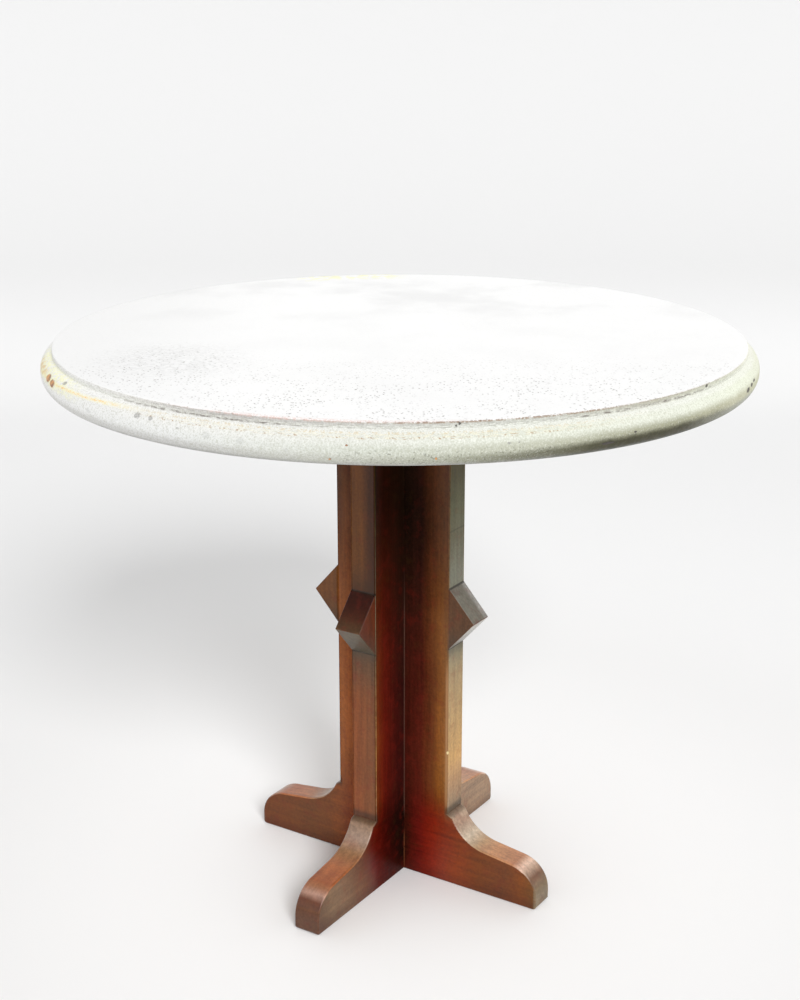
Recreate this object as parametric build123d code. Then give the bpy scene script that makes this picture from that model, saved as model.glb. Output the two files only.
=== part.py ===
from build123d import *
import os

os.makedirs("parts", exist_ok=True)

# Round side table: a painted disc top on a column of two crossed boards.
# Millimetres, +Z up, origin on the floor under the middle of the top.
# The arms of the column and the feet point along -Y (front), +X (right), +Y (back) and -X (left).

# whole table
TABLE_HEIGHT = 508.0
BOARD_THICKNESS = 25.4

# top: edge-glued boards that run front to back, turned to a disc with a stepped bullnose
TOP_RADIUS = 304.8
TOP_THICKNESS = 31.75
TOP_BOARD_WIDTH = 139.7
RIGHTMOST_JOINT_X = 193.7
TOP_JOINT_COUNT = 4
DECK_RADIUS = 294.8
DECK_EDGE_CHAMFER = 1.0
BULLNOSE_RADIUS = 12.7
BULLNOSE_CENTRE_HEIGHT = 14.25

# cleats under the top
CLEAT_LENGTH = 406.4
CLEAT_WIDTH = 63.5
CLEAT_THICKNESS = 19.05
CLEAT_END_CHAMFER = 8.0

# column
COLUMN_WIDTH = 119.0
UPRIGHT_EDGE_ROUND = 0.8

# diamond blocks on the edges of the column
DIAMOND_CENTRE_Z = 261.1
DIAMOND_HALF_HEIGHT = 28.4
DIAMOND_REACH = 25.4
DIAMOND_NOSE_ROUND = 0.8

# foot beams
BEAM_HEIGHT = 69.85
FOOT_REACH = 152.4
LEDGE_REACH = 5.0
LEDGE_DROP = 2.6
COVE_MIDDLE = (77.0, 51.5)
INSTEP = (100.0, 42.3)
TOE_TOP = (128.0, 38.7)
TOE_END_HEIGHT = 10.7
TOE_HEEL_ROUND = 3.0
FOOT_EDGE_ROUND = 1.5

# countersunk wood screws
SCREW_HEAD_RADIUS = 4.6
SCREW_HEAD_HEIGHT = 3.2
SCREW_SHANK_RADIUS = 2.4
SCREW_POINT_LENGTH = 6.0
SCREW_SLOT_WIDTH = 1.2
SCREW_SLOT_DEPTH = 1.4
TOP_SCREW_LENGTH = 38.1
TOP_SCREW_POSITIONS = (92.0, 178.0)
COLUMN_SCREW_LENGTH = 63.5
COLUMN_SCREW_POSITION = 44.0
FOOT_SCREW_LENGTH = 76.2
FOOT_SCREW_POSITION = 38.0
FOOT_COUNTERBORE_RADIUS = 6.35
FOOT_COUNTERBORE_DEPTH = 25.4

# levels that follow from the sizes above
TOP_UNDERSIDE_Z = TABLE_HEIGHT - TOP_THICKNESS
CLEAT_UNDERSIDE_Z = TOP_UNDERSIDE_Z - CLEAT_THICKNESS
COLUMN_HEIGHT = CLEAT_UNDERSIDE_Z - BEAM_HEIGHT
COLUMN_EDGE = COLUMN_WIDTH / 2
ARMS = {"right": 0, "back": 90, "left": 180, "front": 270}

# how far beyond a level an edge has to be to count as past it
CLEAR = 1.0


def box_between(low, high):
    """A box given by its lowest and highest corners."""
    size = [b - a for a, b in zip(low, high)]
    return Pos(*low) * Box(*size, align=(Align.MIN, Align.MIN, Align.MIN))


def turned(shape, angle):
    """The shape turned about the table's axis."""
    return Rot(0, 0, angle) * shape


def on_arms(shape):
    """Four copies of a shape made for the right-hand arm, one on each arm."""
    return [turned(shape, angle) for angle in ARMS.values()]


def cut(shape, tools):
    """The shape with every tool taken out of it."""
    for tool in tools:
        shape = shape - tool
    return shape


# ---------------------------------------------------------------- screws
def screw(length):
    """A slotted countersunk wood screw, point up, its head's face at Z = 0."""
    point_base = length - SCREW_POINT_LENGTH
    with BuildPart() as body:
        with BuildSketch(Plane.XZ):
            with BuildLine():
                Polyline(
                    (0, 0),
                    (SCREW_HEAD_RADIUS, 0),
                    (SCREW_SHANK_RADIUS, SCREW_HEAD_HEIGHT),
                    (SCREW_SHANK_RADIUS, point_base),
                    (0, length),
                    close=True,
                )
            make_face()
        revolve(axis=Axis.Z)
    return body.part


def slotted(blank):
    """The screw blank with its driver slot."""
    slot = Box(2 * SCREW_HEAD_RADIUS, SCREW_SLOT_WIDTH, 2 * SCREW_SLOT_DEPTH)
    return blank - slot


upside_down = Rot(180, 0, 0)
top_screws = []
for reach in TOP_SCREW_POSITIONS:
    place = Pos(reach, 0, CLEAT_UNDERSIDE_Z)
    top_screws += on_arms(place * screw(TOP_SCREW_LENGTH))
column_place = Pos(COLUMN_SCREW_POSITION, 0, TOP_UNDERSIDE_Z) * upside_down
column_screws = on_arms(column_place * screw(COLUMN_SCREW_LENGTH))
foot_place = Pos(FOOT_SCREW_POSITION, 0, FOOT_COUNTERBORE_DEPTH)
foot_screws = on_arms(foot_place * screw(FOOT_SCREW_LENGTH))
foot_counterbores = on_arms(
    Pos(FOOT_SCREW_POSITION, 0, FOOT_COUNTERBORE_DEPTH / 2)
    * Cylinder(FOOT_COUNTERBORE_RADIUS, FOOT_COUNTERBORE_DEPTH)
)

# ---------------------------------------------------------------- top
crest_z = TOP_UNDERSIDE_Z + BULLNOSE_CENTRE_HEIGHT
round_centre_x = TOP_RADIUS - BULLNOSE_RADIUS
step_x = DECK_RADIUS - round_centre_x
step_z = crest_z + (BULLNOSE_RADIUS**2 - step_x**2) ** 0.5
straight_z = TOP_UNDERSIDE_Z + BULLNOSE_RADIUS

with BuildPart() as disc:
    with BuildSketch(Plane.XZ):
        with BuildLine():
            Line((0, TOP_UNDERSIDE_Z), (round_centre_x, TOP_UNDERSIDE_Z))
            RadiusArc((round_centre_x, TOP_UNDERSIDE_Z), (TOP_RADIUS, straight_z), -BULLNOSE_RADIUS)
            Line((TOP_RADIUS, straight_z), (TOP_RADIUS, crest_z))
            RadiusArc((TOP_RADIUS, crest_z), (DECK_RADIUS, step_z), -BULLNOSE_RADIUS)
            Polyline(
                (DECK_RADIUS, step_z),
                (DECK_RADIUS, TABLE_HEIGHT - DECK_EDGE_CHAMFER),
                (DECK_RADIUS - DECK_EDGE_CHAMFER, TABLE_HEIGHT),
                (0, TABLE_HEIGHT),
                (0, TOP_UNDERSIDE_Z),
            )
        make_face()
    revolve(axis=Axis.Z)

joints = [RIGHTMOST_JOINT_X - i * TOP_BOARD_WIDTH for i in range(TOP_JOINT_COUNT)]
edges = [-TOP_RADIUS] + sorted(joints) + [TOP_RADIUS]
tabletop = cut(disc.part, top_screws)
for number, (left, right) in enumerate(zip(edges, edges[1:]), start=1):
    strip = box_between((left, -TOP_RADIUS, TOP_UNDERSIDE_Z), (right, TOP_RADIUS, TABLE_HEIGHT))
    export_step(tabletop & strip, f"parts/tabletop_board_{number}.step")

# ---------------------------------------------------------------- cleats
cleat_blank = Pos(0, 0, CLEAT_UNDERSIDE_Z + CLEAT_THICKNESS / 2) * Box(
    CLEAT_LENGTH, CLEAT_WIDTH, CLEAT_THICKNESS
)
lower_ends = cleat_blank.edges().filter_by(Axis.Y).group_by(Axis.Z)[0]
cleat_blank = chamfer(lower_ends, CLEAT_END_CHAMFER)
cleat_middle_z = CLEAT_UNDERSIDE_Z + CLEAT_THICKNESS / 2
half_width = CLEAT_WIDTH / 2
lower_lap = box_between(
    (-half_width, -half_width, CLEAT_UNDERSIDE_Z), (half_width, half_width, cleat_middle_z)
)
upper_lap = box_between(
    (-half_width, -half_width, cleat_middle_z), (half_width, half_width, TOP_UNDERSIDE_Z)
)
cleat_screws = top_screws + column_screws
export_step(cut(cleat_blank, [lower_lap] + cleat_screws), "parts/cleat_left_right.step")
export_step(
    cut(turned(cleat_blank, 90), [upper_lap] + cleat_screws), "parts/cleat_front_back.step"
)

# ---------------------------------------------------------------- column and diamond blocks
# The blocks are glued on before the edges are eased, so the rounding runs over board and block.
diamond_low = DIAMOND_CENTRE_Z - DIAMOND_HALF_HEIGHT
diamond_high = DIAMOND_CENTRE_Z + DIAMOND_HALF_HEIGHT
with BuildPart() as panel:
    with BuildSketch(Plane.XZ):
        with BuildLine():
            Polyline(
                (0, BEAM_HEIGHT),
                (COLUMN_EDGE, BEAM_HEIGHT),
                (COLUMN_EDGE, diamond_low),
                (COLUMN_EDGE + DIAMOND_REACH, DIAMOND_CENTRE_Z),
                (COLUMN_EDGE, diamond_high),
                (COLUMN_EDGE, CLEAT_UNDERSIDE_Z),
                (0, CLEAT_UNDERSIDE_Z),
            )
            mirror(about=Plane.YZ)
        make_face()
    extrude(amount=BOARD_THICKNESS / 2, both=True)
    noses = panel.edges().filter_by(Axis.Y).filter_by(
        lambda edge: abs(edge.center().X) > COLUMN_EDGE + CLEAR
    )
    fillet(noses, DIAMOND_NOSE_ROUND)
    faces = panel.faces().filter_by(Axis.Y)
    eased = faces.edges().filter_by(
        lambda edge: BEAM_HEIGHT + CLEAR < edge.center().Z < CLEAT_UNDERSIDE_Z - CLEAR
    )
    fillet(eased, UPRIGHT_EDGE_ROUND)

half_thickness = BOARD_THICKNESS / 2
column_middle_z = BEAM_HEIGHT + COLUMN_HEIGHT / 2
board_space = box_between(
    (-COLUMN_EDGE, -half_thickness, BEAM_HEIGHT), (COLUMN_EDGE, half_thickness, CLEAT_UNDERSIDE_Z)
)
upright = panel.part & board_space
lower_slot = box_between(
    (-half_thickness, -half_thickness, BEAM_HEIGHT), (half_thickness, half_thickness, column_middle_z)
)
upper_slot = box_between(
    (-half_thickness, -half_thickness, column_middle_z),
    (half_thickness, half_thickness, CLEAT_UNDERSIDE_Z),
)
upright_screws = column_screws + foot_screws
export_step(cut(upright, [lower_slot] + upright_screws), "parts/upright_left_right.step")
export_step(
    cut(turned(upright, 90), [upper_slot] + upright_screws), "parts/upright_front_back.step"
)

block_space = box_between(
    (COLUMN_EDGE, -half_thickness, diamond_low),
    (COLUMN_EDGE + DIAMOND_REACH, half_thickness, diamond_high),
)
diamond = panel.part & block_space
for arm, angle in ARMS.items():
    export_step(turned(diamond, angle), f"parts/diamond_{arm}.step")

# ---------------------------------------------------------------- foot beams
shoulder = (COLUMN_EDGE, BEAM_HEIGHT)
ledge = (COLUMN_EDGE + LEDGE_REACH, BEAM_HEIGHT - LEDGE_DROP)
with BuildPart() as beam:
    with BuildSketch(Plane.XZ):
        with BuildLine():
            Polyline((0, BEAM_HEIGHT), shoulder, ledge)
            ThreePointArc(ledge, COVE_MIDDLE, INSTEP)
            instep_line = Line(INSTEP, TOE_TOP)
            TangentArc(TOE_TOP, (FOOT_REACH, TOE_END_HEIGHT), tangent=instep_line % 1)
            Polyline((FOOT_REACH, TOE_END_HEIGHT), (FOOT_REACH, 0), (0, 0))
            mirror(about=Plane.YZ)
        make_face()
    extrude(amount=half_thickness, both=True)
    heels = beam.edges().filter_by(Axis.Y).filter_by(
        lambda edge: abs(edge.center().X) > FOOT_REACH - CLEAR and edge.center().Z < CLEAR
    )
    fillet(heels, TOE_HEEL_ROUND)
    faces = beam.faces().filter_by(Axis.Y)
    rims = faces.edges().filter_by(
        lambda edge: abs(edge.center().X) > COLUMN_EDGE and edge.center().Z > CLEAR
    )
    fillet(rims, FOOT_EDGE_ROUND)

beam_middle_z = BEAM_HEIGHT / 2
beam_lower_lap = box_between(
    (-half_thickness, -half_thickness, 0), (half_thickness, half_thickness, beam_middle_z)
)
beam_upper_lap = box_between(
    (-half_thickness, -half_thickness, beam_middle_z), (half_thickness, half_thickness, BEAM_HEIGHT)
)
beam_tools = foot_screws + foot_counterbores
export_step(cut(beam.part, [beam_lower_lap] + beam_tools), "parts/foot_beam_left_right.step")
export_step(
    cut(turned(beam.part, 90), [beam_upper_lap] + beam_tools), "parts/foot_beam_front_back.step"
)

# ---------------------------------------------------------------- screws as made
def export_screws(places, length, name):
    """One node for a set of like screws."""
    blank = slotted(screw(length))
    solids = [solid for place in places for solid in on_arms(place * blank)]
    export_step(Compound(solids), f"parts/{name}.step")


top_places = [Pos(reach, 0, CLEAT_UNDERSIDE_Z) for reach in TOP_SCREW_POSITIONS]
export_screws(top_places, TOP_SCREW_LENGTH, "screws_cleats_to_top")
export_screws([column_place], COLUMN_SCREW_LENGTH, "screws_cleats_to_column")
export_screws([foot_place], FOOT_SCREW_LENGTH, "screws_feet_to_column")
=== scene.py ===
import math

import bmesh
import bpy
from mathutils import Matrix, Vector, noise


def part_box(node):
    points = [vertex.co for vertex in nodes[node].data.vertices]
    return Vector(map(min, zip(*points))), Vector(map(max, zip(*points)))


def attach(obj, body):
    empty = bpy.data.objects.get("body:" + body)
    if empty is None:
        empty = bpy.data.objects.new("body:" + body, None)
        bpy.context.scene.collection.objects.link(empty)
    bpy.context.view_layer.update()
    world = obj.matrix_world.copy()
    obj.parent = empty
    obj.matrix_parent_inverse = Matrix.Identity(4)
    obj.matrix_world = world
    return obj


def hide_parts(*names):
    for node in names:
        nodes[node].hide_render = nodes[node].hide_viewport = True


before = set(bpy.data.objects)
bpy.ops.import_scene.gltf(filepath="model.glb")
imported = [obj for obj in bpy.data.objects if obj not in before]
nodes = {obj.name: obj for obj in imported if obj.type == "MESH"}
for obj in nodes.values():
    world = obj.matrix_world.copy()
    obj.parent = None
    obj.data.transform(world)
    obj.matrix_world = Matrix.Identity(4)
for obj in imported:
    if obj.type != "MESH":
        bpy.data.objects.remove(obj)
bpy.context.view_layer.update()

# ---- sizes in metres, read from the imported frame. MM is the millimetres in a metre
MM = 1000
scene = bpy.context.scene
BOARDS = [f"tabletop_board_{i}" for i in range(1, 6)]
DIAMONDS = [f"diamond_{arm}" for arm in ("front", "right", "back", "left")]
UPRIGHTS = ["upright_left_right", "upright_front_back"]
CLEATS = ["cleat_left_right", "cleat_front_back"]
SCREWS = ["screws_cleats_to_top", "screws_cleats_to_column", "screws_feet_to_column"]

upright_low, upright_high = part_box("upright_left_right")
top_low, top_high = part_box("tabletop_board_3")
diamond_low, diamond_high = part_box("diamond_right")
foot_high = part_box("foot_beam_left_right")[1]
COLUMN_EDGE = upright_high.x
HALF_BOARD = foot_high.y
BEAM_TOP = upright_low.z
FOOT_REACH = foot_high.x
UNDERSIDE = top_low.z
TABLE_HEIGHT = top_high.z
TOP_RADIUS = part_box("tabletop_board_5")[1].x
JOINT_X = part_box("tabletop_board_2")[0].x
BOARD_WIDTH = top_high.x - top_low.x
DIAMOND_MIDDLE = (diamond_low.z + diamond_high.z) / 2
DIAMOND_HALF_HEIGHT = (diamond_high.z - diamond_low.z) / 2

# stepped bullnose round the top: a deck, a small step and a half-round nose
DECK_RADIUS = TOP_RADIUS - 0.01
DECK_ROUND = 0.0012
QUIRK_ROUND = 0.0007
BULLNOSE = 0.0127
CREST_Z = UNDERSIDE + 0.01425
STEP_Z = CREST_Z + math.sqrt(BULLNOSE**2 - (DECK_RADIUS - TOP_RADIUS + BULLNOSE) ** 2)

# the side that the camera looks from, and the direction to its right
CAMERA_AZIMUTH = math.radians(32.68)
FORWARD = Vector((math.sin(CAMERA_AZIMUTH), -math.cos(CAMERA_AZIMUTH), 0))
SIDEWAYS = Vector((math.cos(CAMERA_AZIMUTH), math.sin(CAMERA_AZIMUTH), 0))


# ---- shader building
class Shader:
    """One procedural material in the row frame's own coordinates, built node by node."""

    def __init__(self, name):
        self.material = bpy.data.materials.new(name)
        self.material.use_nodes = True
        self.tree = self.material.node_tree
        self.surface = self.tree.nodes["Principled BSDF"]
        self.position = self.add("ShaderNodeTexCoord").outputs["Object"]
        self.x, self.y, self.z = self.feed(self.add("ShaderNodeSeparateXYZ"), self.position)

    def add(self, kind, **settings):
        node = self.tree.nodes.new(kind)
        for key, value in settings.items():
            setattr(node, key, value)
        return node

    def plug(self, value, socket):
        """Links a node output to the socket, or sets the socket to a plain value."""
        if isinstance(value, bpy.types.NodeSocket):
            self.tree.links.new(value, socket)
        else:
            socket.default_value = value

    def feed(self, node, *values):
        """Plugs values into the node's first inputs."""
        for value, socket in zip(values, node.inputs):
            self.plug(value, socket)
        return node.outputs

    # numbers
    def math(self, operation, a, b=0.0, c=0.0):
        return self.feed(self.add("ShaderNodeMath", operation=operation), a, b, c)[0]

    def fold(self, operation, values):
        total = values[0]
        for value in values[1:]:
            total = self.math(operation, total, value)
        return total

    def product(self, *factors):
        return self.fold("MULTIPLY", factors)

    def sum(self, *terms):
        return self.fold("ADD", terms)

    def greatest(self, *values):
        return self.fold("MAXIMUM", values)

    def least(self, *values):
        return self.fold("MINIMUM", values)

    def difference(self, a, b):
        return self.math("SUBTRACT", a, b)

    def inverse(self, mask):
        return self.difference(1.0, mask)

    def size(self, value):
        """The value without its sign."""
        return self.math("ABSOLUTE", value)

    def step(self, value, low, high, to=(0.0, 1.0)):
        """A smooth change from to[0] where value is low to to[1] where it is high."""
        node = self.add("ShaderNodeMapRange", interpolation_type="SMOOTHSTEP")
        return self.feed(node, value, low, high, *to)[0]

    def band(self, value, centre, half_width, soft):
        """1 where value is within half_width of centre, falling to 0 over soft."""
        away = self.size(self.difference(value, centre))
        return self.step(away, half_width + soft, half_width)

    # places and directions
    def vector(self, operation, a, b):
        outputs = self.feed(self.add("ShaderNodeVectorMath", operation=operation), a, b)
        return outputs["Value" if operation in ("LENGTH", "DISTANCE", "DOT_PRODUCT") else "Vector"]

    def combine(self, x, y, z):
        return self.feed(self.add("ShaderNodeCombineXYZ"), x, y, z)[0]

    def facing(self):
        """The three parts of the direction that the surface faces."""
        normal = self.add("ShaderNodeNewGeometry").outputs["Normal"]
        return self.feed(self.add("ShaderNodeSeparateXYZ"), normal)

    def from_axis(self):
        """Distance from the table's upright axis."""
        return self.math("SQRT", self.sum(self.math("POWER", self.x, 2.0), self.math("POWER", self.y, 2.0)))

    def round_angle(self):
        """Angle round the axis in radians, 0 at the front, -Y, and rising towards the right, +X."""
        return self.math("ARCTAN2", self.x, self.product(self.y, -1.0))

    def spot(self, centre, radius, soft):
        """1 within radius of a point, falling to 0 over soft."""
        away = self.vector("DISTANCE", self.position, centre)
        return self.step(away, radius + soft, radius)

    def ovals(self, place, marks, soft):
        """1 inside any of the oval marks on the rim, falling to 0 over soft times their size."""
        total = 0.0
        for azimuth, height, half_width, half_height in marks:
            centre = (math.radians(azimuth) * TOP_RADIUS, UNDERSIDE + height / MM, 0)
            away = self.vector("SUBTRACT", place, centre)
            away = self.vector("MULTIPLY", away, (MM / half_width, MM / half_height, 0))
            mark = self.step(self.vector("LENGTH", away, (0, 0, 0)), 1 + soft, 1 - soft)
            total = self.greatest(total, mark)
        return total

    # textures
    def texture(self, kind, place, settings):
        node = self.add(kind)
        self.plug(place, node.inputs["Vector"])
        for key, value in settings.items():
            node.inputs[key].default_value = value
        return node.outputs

    def noise(self, scale, place=None, detail=4.0, roughness=0.55, distortion=0.0):
        place = self.position if place is None else place
        settings = {"Scale": scale, "Detail": detail, "Roughness": roughness, "Distortion": distortion}
        return self.texture("ShaderNodeTexNoise", place, settings)["Fac"]

    def cells(self, scale, place):
        """Distance to the nearest of many scattered points."""
        return self.texture("ShaderNodeTexVoronoi", place, {"Scale": scale})["Distance"]

    def shaken(self, amount, scale):
        """The position, shaken by noise, for masks with ragged edges."""
        settings = {"Scale": scale, "Detail": 3.0}
        colour = self.texture("ShaderNodeTexNoise", self.position, settings)["Color"]
        centred = self.vector("SUBTRACT", colour, (0.5, 0.5, 0.5))
        return self.vector("ADD", self.position, self.vector("MULTIPLY", centred, (amount,) * 3))

    # colours
    def ramp(self, place, stops):
        """Colour along a distance or angle, from stops of its place, red, green and blue."""
        first, last = stops[0][0], stops[-1][0]
        node = self.add("ShaderNodeValToRGB")
        self.plug(self.math("DIVIDE", self.difference(place, first), last - first), node.inputs[0])
        elements = node.color_ramp.elements
        elements.remove(elements[1])
        for i, (stop, *colour) in enumerate(stops):
            element = elements.new((stop - first) / (last - first)) if i else elements[0]
            element.color = (*colour, 1.0)
        return node.outputs[0]

    def shade(self, colour, gain):
        """The colour made lighter or darker by a factor."""
        node = self.add("ShaderNodeVectorMath", operation="SCALE")
        self.plug(colour, node.inputs[0])
        self.plug(gain, node.inputs["Scale"])
        return node.outputs[0]

    def mix(self, factor, a, b):
        """Colour a where the factor is 0 and b where it is 1."""
        node = self.add("ShaderNodeMix", data_type="RGBA")
        for value, socket in zip((factor, a, b), (node.inputs[0], node.inputs[6], node.inputs[7])):
            self.plug((*value, 1.0) if isinstance(value, tuple) else value, socket)
        return node.outputs[2]

    def ramps(self, factor, place, a, b):
        """Two ramps along the same distance or angle, mixed."""
        return self.mix(factor, self.ramp(place, a), self.ramp(place, b))

    def layers(self, base, *coats):
        """Colours laid over a base colour, each as (mask, strength, colour)."""
        for mask, strength, colour in coats:
            base = self.mix(self.product(mask, strength), base, colour)
        return base

    # surface
    def bumps(self, *coats):
        """Stacked bump, each as (height, distance in metres, strength)."""
        socket = self.surface.inputs["Normal"]
        for height, distance, strength in reversed(coats):
            node = self.add("ShaderNodeBump")
            node.inputs["Strength"].default_value = strength
            node.inputs["Distance"].default_value = distance
            self.plug(height, node.inputs["Height"])
            self.plug(node.outputs[0], socket)
            socket = node.inputs["Normal"]

    def finish(self, colour, roughness, specular=0.5, coat=0.0, coat_roughness=0.1, metallic=0.0):
        """The coat's weight may vary over the surface. The specular level may not: the export drops it."""
        inputs = self.surface.inputs
        self.plug(colour, inputs["Base Color"])
        self.plug(roughness, inputs["Roughness"])
        inputs["Specular IOR Level"].default_value = specular
        self.plug(coat, inputs["Coat Weight"])
        inputs["Coat Roughness"].default_value = coat_roughness
        inputs["Metallic"].default_value = metallic
        return self.material


# ---- stained and varnished wood
# heights in metres: the colours of the column give way to the feet's over the first pair
COLUMN_TO_FOOT = (0.098, 0.056)
# height of the top's painted shadow edge across the right arm's end
SHADOW_EDGE_Z = 0.342
NICK_Z = 0.1315

# colours along an arm of the column, by millimetres from the table's axis: a red-brown stain, with painted
# shade making it nearly black-red in the inner corners and darker high up under the top, and rubbed to
# orange-brown towards the edges, partly painted light
SIDE_HIGH = (
    (14, 0.015, 0.007, 0.004),
    (30, 0.023, 0.008, 0.005),
    (45, 0.09, 0.026, 0.006),
    (52, 0.108, 0.035, 0.006),
    (60, 0.08, 0.024, 0.005),
)
SIDE_LOW = (
    (14, 0.05, 0.007, 0.004),
    (31, 0.082, 0.012, 0.006),
    (43, 0.13, 0.034, 0.008),
    (51, 0.205, 0.064, 0.006),
    (60, 0.255, 0.105, 0.022),
)
# the same on the faces that look left and right
CROSS_HIGH = (
    (14, 0.016, 0.008, 0.004),
    (54, 0.022, 0.004, 0.001),
    (60, 0.011, 0.003, 0.001),
)
CROSS_LOW = (
    (20, 0.034, 0.005, 0.004),
    (32, 0.059, 0.006, 0.004),
    (46, 0.098, 0.007, 0.003),
    (54, 0.115, 0.013, 0.002),
    (60, 0.165, 0.036, 0.003),
)
# pale end of the right-hand arm, a painted sheen on partly bleached wood, by height in millimetres
RIGHT_END_SHEEN = (
    (72, 0.25, 0.175, 0.11),
    (100, 0.36, 0.205, 0.097),
    (125, 0.45, 0.26, 0.092),
    (175, 0.365, 0.238, 0.105),
    (205, 0.31, 0.22, 0.11),
    (228, 0.19, 0.165, 0.1),
    (300, 0.148, 0.15, 0.108),
    (335, 0.112, 0.103, 0.056),
    (365, 0.098, 0.098, 0.042),
    (395, 0.062, 0.052, 0.01),
)
# sides of the feet, by millimetres from the table's axis, darker next to the axis with painted shade in the
# inner corners
FOOT_RIGHT = (
    (14, 0.034, 0.006, 0.003),
    (30, 0.125, 0.008, 0.005),
    (45, 0.195, 0.013, 0.003),
    (70, 0.195, 0.03, 0.002),
    (95, 0.15, 0.036, 0.003),
    (120, 0.138, 0.037, 0.007),
    (138, 0.165, 0.041, 0.003),
    (152, 0.128, 0.046, 0.006),
)
FOOT_LEFT = (
    (14, 0.1, 0.012, 0.004),
    (45, 0.24, 0.045, 0.005),
    (60, 0.235, 0.058, 0.006),
    (72, 0.16, 0.045, 0.007),
    (95, 0.116, 0.036, 0.007),
    (152, 0.132, 0.032, 0.003),
)
FOOT_CROSS = (
    (18, 0.012, 0.003, 0.002),
    (38, 0.034, 0.002, 0.001),
    (60, 0.085, 0.004, 0.001),
    (78, 0.118, 0.034, 0.008),
    (98, 0.142, 0.066, 0.028),
    (115, 0.16, 0.088, 0.043),
    (130, 0.15, 0.084, 0.04),
    (150, 0.09, 0.042, 0.019),
)
# upper faces of the feet, by millimetres from the table's axis: paler partly from rubbed wear and partly a
# painted glare, with a painted highlight across the toe at 136 to 142 mm
TOP_PALE = (
    (59, 0.34, 0.22, 0.13),
    (64, 0.47, 0.36, 0.26),
    (68, 0.35, 0.22, 0.15),
    (79, 0.53, 0.43, 0.32),
    (90, 0.43, 0.27, 0.145),
    (104, 0.54, 0.26, 0.12),
    (128, 0.46, 0.2, 0.095),
    (136, 0.72, 0.5, 0.38),
    (142, 0.36, 0.235, 0.165),
    (147, 0.12, 0.05, 0.022),
    (153, 0.17, 0.122, 0.067),
)
TOP_DARK = (
    (59, 0.16, 0.095, 0.05),
    (73, 0.31, 0.21, 0.155),
    (84, 0.27, 0.137, 0.063),
    (105, 0.36, 0.113, 0.03),
    (128, 0.31, 0.083, 0.02),
    (136, 0.29, 0.125, 0.062),
    (142, 0.36, 0.205, 0.15),
    (147, 0.1, 0.026, 0.008),
    (153, 0.09, 0.038, 0.02),
)
# upper slopes of the diamonds, by millimetres from the table's axis
SLOPE = (
    (60, 0.02, 0.003, 0.002),
    (68, 0.032, 0.004, 0.002),
    (76, 0.045, 0.011, 0.004),
    (84, 0.068, 0.033, 0.014),
)


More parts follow.
